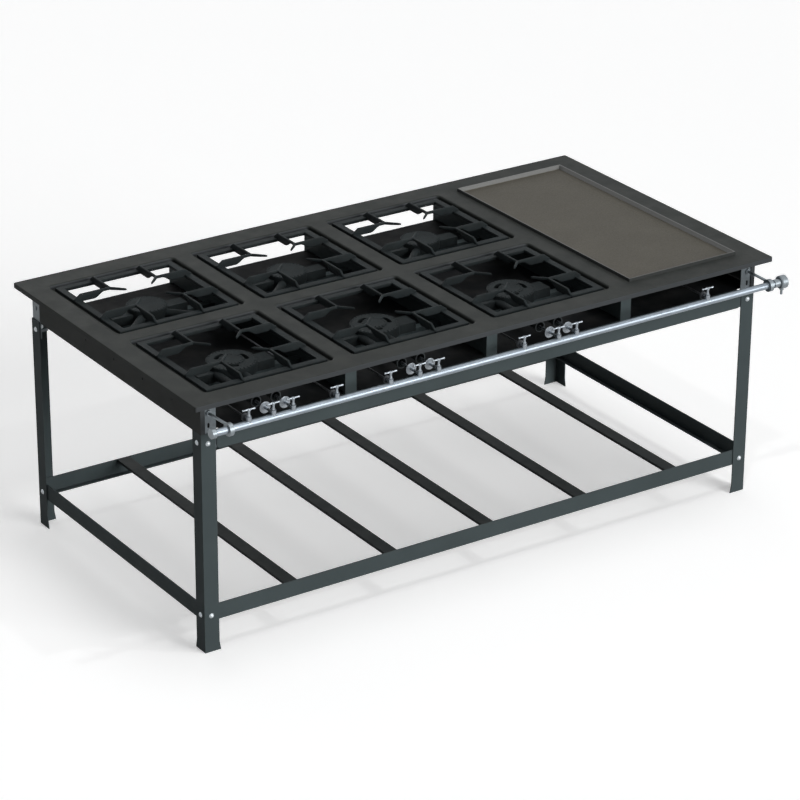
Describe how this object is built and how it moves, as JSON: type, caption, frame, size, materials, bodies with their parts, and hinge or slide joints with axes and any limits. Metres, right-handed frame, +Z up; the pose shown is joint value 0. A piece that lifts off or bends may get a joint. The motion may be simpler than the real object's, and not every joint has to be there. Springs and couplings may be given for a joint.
{
  "type": "industrial gas stove",
  "caption": "Low-shelved industrial gas stove: steel top with recessed cast grates over ring burners, a long griddle, and a front gas pipe with lever taps and air discs on an angle-steel frame.",
  "frame": {"origin": "on the floor, at the centre of the outline seen from above, with the gas pipe and its right-hand union counted in the outline", "axes": "+X along the front towards the griddle and the gas inlet, +Y from the front edge with the taps to the back, +Z up"},
  "size_m": [2.071, 1.146, 0.815],
  "materials": {
    "top_paint": "semi-gloss charcoal enamel",
    "frame_paint": "semi-gloss grey-green enamel",
    "slat_paint": "semi-gloss charcoal enamel",
    "galvanised": "dull galvanised",
    "zinc_bolts": "bright zinc plate",
    "grate_iron": "matt black cast iron",
    "burner_iron": "matt black cast iron",
    "griddle_steel": "seasoned steel",
    "pipe_steel": "smooth galvanised",
    "fitting_steel": "galvanised",
    "tap_chrome": "bright chrome plate",
    "disc_bright": "turned aluminium",
    "tube_steel": "dull dark steel",
    "drip_steel": "sooty black enamel"
  },
  "bodies": {
    "stove": {"top_plate": "top_paint", "end_panels": "top_paint", "front_rail": "frame_paint", "back_rail": "frame_paint", "frame_posts": "frame_paint", "cross_members": "frame_paint", "burner_bars": "frame_paint", "corner_brackets": "galvanised", "leg_front_left": "frame_paint", "leg_front_right": "frame_paint", "leg_back_left": "frame_paint", "leg_back_right": "frame_paint", "long_shelf_rails": "frame_paint", "short_shelf_rails": "frame_paint", "shelf_slats": "slat_paint", "frame_bolts": "zinc_bolts", "double_burner_left": "burner_iron", "double_burner_centre": "burner_iron", "double_burner_right": "burner_iron", "back_burner_left": "burner_iron", "back_burner_centre": "burner_iron", "back_burner_right": "burner_iron", "drip_sheets": "drip_steel", "feed_tubes": "tube_steel", "griddle_burner": "burner_iron", "manifold_pipe": "pipe_steel", "pipe_cap": "fitting_steel", "inlet_union": "fitting_steel", "hose_nipple": "fitting_steel", "pipe_hangers": "fitting_steel", "tap_bodies": "tap_chrome"},
    "grate_front_left": {"grate_front_left": "grate_iron"},
    "grate_front_centre": {"grate_front_centre": "grate_iron"},
    "grate_front_right": {"grate_front_right": "grate_iron"},
    "grate_back_left": {"grate_back_left": "grate_iron"},
    "grate_back_centre": {"grate_back_centre": "grate_iron"},
    "grate_back_right": {"grate_back_right": "grate_iron"},
    "griddle": {"griddle_plate": "griddle_steel"},
    "tap_handle_1": {"tap_handle_1": "tap_chrome"},
    "tap_handle_2": {"tap_handle_2": "tap_chrome"},
    "air_disc_2": {"air_disc_2": "disc_bright"},
    "tap_handle_3": {"tap_handle_3": "tap_chrome"},
    "air_disc_3": {"air_disc_3": "disc_bright"},
    "tap_handle_4": {"tap_handle_4": "tap_chrome"},
    "tap_handle_5": {"tap_handle_5": "tap_chrome"},
    "tap_handle_6": {"tap_handle_6": "tap_chrome"},
    "air_disc_6": {"air_disc_6": "disc_bright"},
    "tap_handle_7": {"tap_handle_7": "tap_chrome"},
    "air_disc_7": {"air_disc_7": "disc_bright"},
    "tap_handle_8": {"tap_handle_8": "tap_chrome"},
    "tap_handle_9": {"tap_handle_9": "tap_chrome"},
    "air_disc_9": {"air_disc_9": "disc_bright"},
    "tap_handle_10": {"tap_handle_10": "tap_chrome"},
    "air_disc_10": {"air_disc_10": "disc_bright"},
    "tap_handle_11": {"tap_handle_11": "tap_chrome"}
  },
  "joints": [
    {"name": "grate_front_left_lift", "type": "slide", "parent": "stove", "child": "grate_front_left", "axis": [0, 0, 1], "range_m": [0, 0.12]},
    {"name": "grate_front_centre_lift", "type": "slide", "parent": "stove", "child": "grate_front_centre", "axis": [0, 0, 1], "range_m": [0, 0.12]},
    {"name": "grate_front_right_lift", "type": "slide", "parent": "stove", "child": "grate_front_right", "axis": [0, 0, 1], "range_m": [0, 0.12]},
    {"name": "grate_back_left_lift", "type": "slide", "parent": "stove", "child": "grate_back_left", "axis": [0, 0, 1], "range_m": [0, 0.12]},
    {"name": "grate_back_centre_lift", "type": "slide", "parent": "stove", "child": "grate_back_centre", "axis": [0, 0, 1], "range_m": [0, 0.12]},
    {"name": "grate_back_right_lift", "type": "slide", "parent": "stove", "child": "grate_back_right", "axis": [0, 0, 1], "range_m": [0, 0.12]},
    {"name": "griddle_lift", "type": "slide", "parent": "stove", "child": "griddle", "axis": [0, 0, 1], "range_m": [0, 0.12]},
    {"name": "tap_turn_1", "type": "hinge", "parent": "stove", "child": "tap_handle_1", "pos_m": [-0.8905, -0.552, 0.776], "axis": [0, 0, 1], "range_deg": [0, 90]},
    {"name": "tap_turn_2", "type": "hinge", "parent": "stove", "child": "tap_handle_2", "pos_m": [-0.8105, -0.552, 0.776], "axis": [0, 0, 1], "range_deg": [0, 90]},
    {"name": "air_disc_run_2", "type": "slide", "parent": "stove", "child": "air_disc_2", "axis": [0, 1, 0], "range_m": [0, 0.044]},
    {"name": "tap_turn_3", "type": "hinge", "parent": "stove", "child": "tap_handle_3", "pos_m": [-0.7455, -0.552, 0.776], "axis": [0, 0, 1], "range_deg": [0, 90]},
    {"name": "air_disc_run_3", "type": "slide", "parent": "stove", "child": "air_disc_3", "axis": [0, 1, 0], "range_m": [0, 0.044]},
    {"name": "tap_turn_4", "type": "hinge", "parent": "stove", "child": "tap_handle_4", "pos_m": [-0.6005, -0.552, 0.776], "axis": [0, 0, 1], "range_deg": [0, 90]},
    {"name": "tap_turn_5", "type": "hinge", "parent": "stove", "child": "tap_handle_5", "pos_m": [-0.4185, -0.552, 0.776], "axis": [0, 0, 1], "range_deg": [0, 90]},
    {"name": "tap_turn_6", "type": "hinge", "parent": "stove", "child": "tap_handle_6", "pos_m": [-0.3185, -0.552, 0.776], "axis": [0, 0, 1], "range_deg": [0, 90]},
    {"name": "air_disc_run_6", "type": "slide", "parent": "stove", "child": "air_disc_6", "axis": [0, 1, 0], "range_m": [0, 0.044]},
    {"name": "tap_turn_7", "type": "hinge", "parent": "stove", "child": "tap_handle_7", "pos_m": [-0.2535, -0.552, 0.776], "axis": [0, 0, 1], "range_deg": [0, 90]},
    {"name": "air_disc_run_7", "type": "slide", "parent": "stove", "child": "air_disc_7", "axis": [0, 1, 0], "range_m": [0, 0.044]},
    {"name": "tap_turn_8", "type": "hinge", "parent": "stove", "child": "tap_handle_8", "pos_m": [0.0495, -0.552, 0.776], "axis": [0, 0, 1], "range_deg": [0, 90]},
    {"name": "tap_turn_9", "type": "hinge", "parent": "stove", "child": "tap_handle_9", "pos_m": [0.1735, -0.552, 0.776], "axis": [0, 0, 1], "range_deg": [0, 90]},
    {"name": "air_disc_run_9", "type": "slide", "parent": "stove", "child": "air_disc_9", "axis": [0, 1, 0], "range_m": [0, 0.044]},
    {"name": "tap_turn_10", "type": "hinge", "parent": "stove", "child": "tap_handle_10", "pos_m": [0.2385, -0.552, 0.776], "axis": [0, 0, 1], "range_deg": [0, 90]},
    {"name": "air_disc_run_10", "type": "slide", "parent": "stove", "child": "air_disc_10", "axis": [0, 1, 0], "range_m": [0, 0.044]},
    {"name": "tap_turn_11", "type": "hinge", "parent": "stove", "child": "tap_handle_11", "pos_m": [0.7305, -0.552, 0.776], "axis": [0, 0, 1], "range_deg": [0, 90]}
  ]
}
